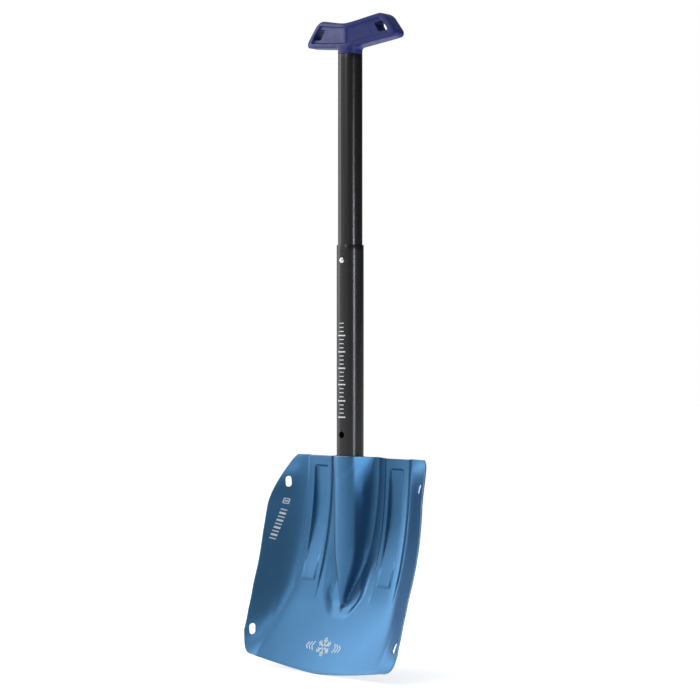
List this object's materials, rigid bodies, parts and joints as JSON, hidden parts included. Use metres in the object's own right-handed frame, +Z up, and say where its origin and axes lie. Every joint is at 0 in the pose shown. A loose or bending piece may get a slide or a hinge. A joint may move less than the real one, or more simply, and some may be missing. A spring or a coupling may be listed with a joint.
{
  "type": "avalanche shovel",
  "caption": "Avalanche shovel: stamped scoop blade with slotted wings and a socket ridge, telescoping oval shaft with spring button locks, and a swept T-shaped grip.",
  "frame": {"origin": "middle of the underside of the box around the extended shovel, below the blade's lip", "axes": "+Z up along the shaft, +X across the blade, -Y out of the scoop's open face; the shovel is symmetric across the YZ plane"},
  "size_m": [0.2548, 0.091, 0.7949],
  "materials": {
    "blue_anodised": "blue anodised sheet, satin",
    "blue_anodised_back": "blue anodised casting, satin",
    "black_anodised": "black anodised tube, satin",
    "navy_plastic": "moulded, fine texture",
    "black_plastic": "moulded",
    "nickel": "polished nickel plate",
    "spring_steel": "rolled strip"
  },
  "bodies": {
    "blade": {"blade": "blue_anodised", "socket_back": "blue_anodised_back"},
    "lower_shaft": {"lower_tube": "black_anodised", "lower_tube_plug": "black_plastic", "blade_button_spring": "spring_steel"},
    "blade_button": {"blade_button": "nickel"},
    "upper_shaft": {"upper_tube": "black_anodised", "upper_tube_plug": "black_plastic", "grip": "navy_plastic", "grip_rivet": "nickel", "extension_button_spring": "spring_steel"},
    "extension_button": {"extension_button": "nickel"}
  },
  "joints": [
    {"name": "shaft_pull_out", "type": "slide", "parent": "blade", "child": "lower_shaft", "axis": [0, 0, 1], "range_m": [0, 0.1], "deforming": ["blade_button", "blade_button_spring"]},
    {"name": "blade_button_press", "type": "slide", "parent": "lower_shaft", "child": "blade_button", "axis": [0, -1, 0], "range_m": [0, 0.0045], "stiffness_N_per_m": 900, "deforming": ["blade_button_spring"]},
    {"name": "telescope", "type": "slide", "parent": "lower_shaft", "child": "upper_shaft", "axis": [0, 0, 1], "range_m": [-0.212, 0], "deforming": ["extension_button", "extension_button_spring"]},
    {"name": "extension_button_press", "type": "slide", "parent": "upper_shaft", "child": "extension_button", "axis": [0, 1, 0], "range_m": [0, 0.004], "stiffness_N_per_m": 900, "deforming": ["extension_button_spring"]}
  ]
}
